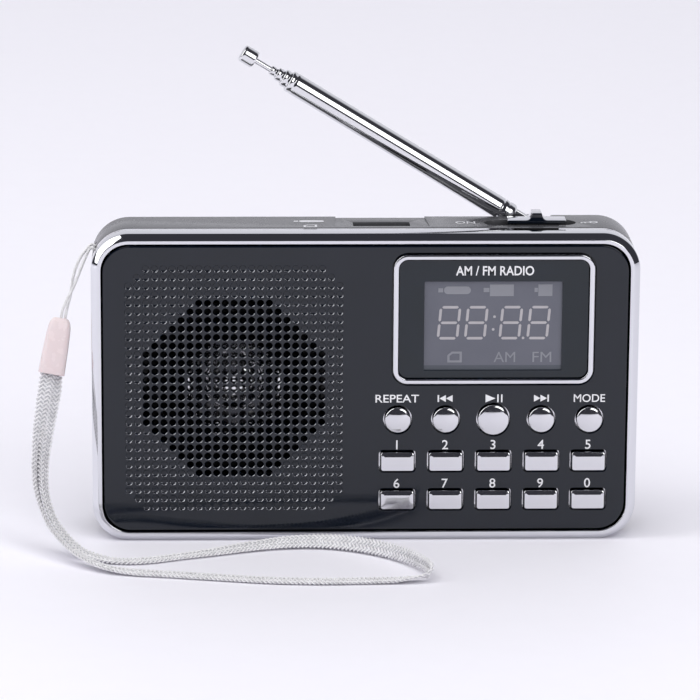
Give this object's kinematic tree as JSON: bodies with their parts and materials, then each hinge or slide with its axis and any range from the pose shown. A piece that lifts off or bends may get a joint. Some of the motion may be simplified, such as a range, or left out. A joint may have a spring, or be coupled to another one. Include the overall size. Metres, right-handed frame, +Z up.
{
  "type": "pocket radio",
  "caption": "Flat pocket radio with a perforated speaker front, a small display, round and rectangular keys, a telescopic antenna and a wrist strap.",
  "frame": {"origin": "on the table under the middle of the case, at the middle of its width and depth", "axes": "+X to the right seen from the front, +Y from the front panel to the back, +Z up"},
  "size_m": [0.1351, 0.0579, 0.1088],
  "materials": {
    "chrome_plating": "mirror-bright plating on the frame, keys and antenna",
    "gloss_black": "high-gloss moulded front",
    "shell_black": "smooth black moulding",
    "window_glass": "tinted clear window over the display",
    "lcd_grey": "grey-blue liquid crystal panel",
    "board_green": "solder mask on a circuit board",
    "steel": "plated sheet steel",
    "cone_film": "silvery polyester film",
    "contact_brass": "gold-plated spring contacts",
    "battery_label": "plain grey battery wrap",
    "strap_white": "white braided polyester",
    "clamp_pink": "pale pink moulding"
  },
  "bodies": {
    "case": {"chrome_frame": "chrome_plating", "front_panel": "gloss_black", "rear_shell": "shell_black", "display_trim": "chrome_plating", "display_window": "window_glass", "lcd_module": "lcd_grey", "main_board": "board_green", "speaker_frame": "steel", "speaker_cone": "cone_film", "speaker_magnet": "steel", "usb_shell": "steel", "usb_tongue": "shell_black", "headphone_jack": "shell_black", "charge_socket": "steel", "slide_switch": "steel", "battery": "battery_label", "battery_contacts": "contact_brass", "case_screw_1": "steel", "case_screw_2": "steel", "case_screw_3": "steel", "case_screw_4": "steel", "strap_loop": "strap_white", "strap_clamp": "clamp_pink", "strap_band": "strap_white"},
    "button_repeat": {"button_repeat": "chrome_plating"},
    "button_previous": {"button_previous": "chrome_plating"},
    "button_play": {"button_play": "chrome_plating"},
    "button_next": {"button_next": "chrome_plating"},
    "button_mode": {"button_mode": "chrome_plating"},
    "key_1": {"key_1": "chrome_plating"},
    "key_2": {"key_2": "chrome_plating"},
    "key_3": {"key_3": "chrome_plating"},
    "key_4": {"key_4": "chrome_plating"},
    "key_5": {"key_5": "chrome_plating"},
    "key_6": {"key_6": "chrome_plating"},
    "key_7": {"key_7": "chrome_plating"},
    "key_8": {"key_8": "chrome_plating"},
    "key_9": {"key_9": "chrome_plating"},
    "key_0": {"key_0": "chrome_plating"},
    "power_slider": {"power_slider": "chrome_plating"},
    "battery_cover": {"battery_cover": "shell_black"},
    "antenna_swivel": {"antenna_base": "chrome_plating", "antenna_screw": "steel", "antenna_pivot_pin": "steel"},
    "antenna_mast": {"antenna_knuckle": "chrome_plating", "antenna_tube_1": "chrome_plating"},
    "antenna_tube_2": {"antenna_tube_2": "chrome_plating"},
    "antenna_tube_3": {"antenna_tube_3": "chrome_plating"},
    "antenna_tube_4": {"antenna_tube_4": "chrome_plating"},
    "antenna_rod": {"antenna_rod": "chrome_plating", "antenna_tip": "chrome_plating"}
  },
  "joints": [
    {"name": "button_repeat_press", "type": "slide", "parent": "case", "child": "button_repeat", "axis": [0, 1, 0], "range_m": [0, 0.0004], "stiffness_N_per_m": 400},
    {"name": "button_previous_press", "type": "slide", "parent": "case", "child": "button_previous", "axis": [0, 1, 0], "range_m": [0, 0.0004], "stiffness_N_per_m": 400},
    {"name": "button_play_press", "type": "slide", "parent": "case", "child": "button_play", "axis": [0, 1, 0], "range_m": [0, 0.0004], "stiffness_N_per_m": 400},
    {"name": "button_next_press", "type": "slide", "parent": "case", "child": "button_next", "axis": [0, 1, 0], "range_m": [0, 0.0004], "stiffness_N_per_m": 400},
    {"name": "button_mode_press", "type": "slide", "parent": "case", "child": "button_mode", "axis": [0, 1, 0], "range_m": [0, 0.0004], "stiffness_N_per_m": 400},
    {"name": "key_1_press", "type": "slide", "parent": "case", "child": "key_1", "axis": [0, 1, 0], "range_m": [0, 0.0004], "stiffness_N_per_m": 400},
    {"name": "key_2_press", "type": "slide", "parent": "case", "child": "key_2", "axis": [0, 1, 0], "range_m": [0, 0.0004], "stiffness_N_per_m": 400},
    {"name": "key_3_press", "type": "slide", "parent": "case", "child": "key_3", "axis": [0, 1, 0], "range_m": [0, 0.0004], "stiffness_N_per_m": 400},
    {"name": "key_4_press", "type": "slide", "parent": "case", "child": "key_4", "axis": [0, 1, 0], "range_m": [0, 0.0004], "stiffness_N_per_m": 400},
    {"name": "key_5_press", "type": "slide", "parent": "case", "child": "key_5", "axis": [0, 1, 0], "range_m": [0, 0.0004], "stiffness_N_per_m": 400},
    {"name": "key_6_press", "type": "slide", "parent": "case", "child": "key_6", "axis": [0, 1, 0], "range_m": [0, 0.0004], "stiffness_N_per_m": 400},
    {"name": "key_7_press", "type": "slide", "parent": "case", "child": "key_7", "axis": [0, 1, 0], "range_m": [0, 0.0004], "stiffness_N_per_m": 400},
    {"name": "key_8_press", "type": "slide", "parent": "case", "child": "key_8", "axis": [0, 1, 0], "range_m": [0, 0.0004], "stiffness_N_per_m": 400},
    {"name": "key_9_press", "type": "slide", "parent": "case", "child": "key_9", "axis": [0, 1, 0], "range_m": [0, 0.0004], "stiffness_N_per_m": 400},
    {"name": "key_0_press", "type": "slide", "parent": "case", "child": "key_0", "axis": [0, 1, 0], "range_m": [0, 0.0004], "stiffness_N_per_m": 400},
    {"name": "power_slide", "type": "slide", "parent": "case", "child": "power_slider", "axis": [1, 0, 0], "range_m": [-0.0048, 0.002]},
    {"name": "battery_cover_slide", "type": "slide", "parent": "case", "child": "battery_cover", "axis": [0, 0, -1], "range_m": [0, 0.045]},
    {"name": "antenna_turn", "type": "hinge", "parent": "case", "child": "antenna_swivel", "pos_m": [0.0375, 0.0094, 0.06759], "axis": [0, 0, 1], "range_deg": [-120, 0]},
    {"name": "antenna_tilt", "type": "hinge", "parent": "antenna_swivel", "child": "antenna_mast", "pos_m": [0.0375, 0.0094, 0.06759], "axis": [0, 1, 0], "range_deg": [-31.5, 58.5]},
    {"name": "antenna_tube_2_pull", "type": "slide", "parent": "antenna_mast", "child": "antenna_tube_2", "axis": [-0.8526, 0, 0.5225], "range_m": [0, 0.045]},
    {"name": "antenna_tube_3_pull", "type": "slide", "parent": "antenna_tube_2", "child": "antenna_tube_3", "axis": [-0.8526, 0, 0.5225], "range_m": [0, 0.045]},
    {"name": "antenna_tube_4_pull", "type": "slide", "parent": "antenna_tube_3", "child": "antenna_tube_4", "axis": [-0.8526, 0, 0.5225], "range_m": [0, 0.045]},
    {"name": "antenna_rod_pull", "type": "slide", "parent": "antenna_tube_4", "child": "antenna_rod", "axis": [-0.8526, 0, 0.5225], "range_m": [0, 0.045]}
  ]
}
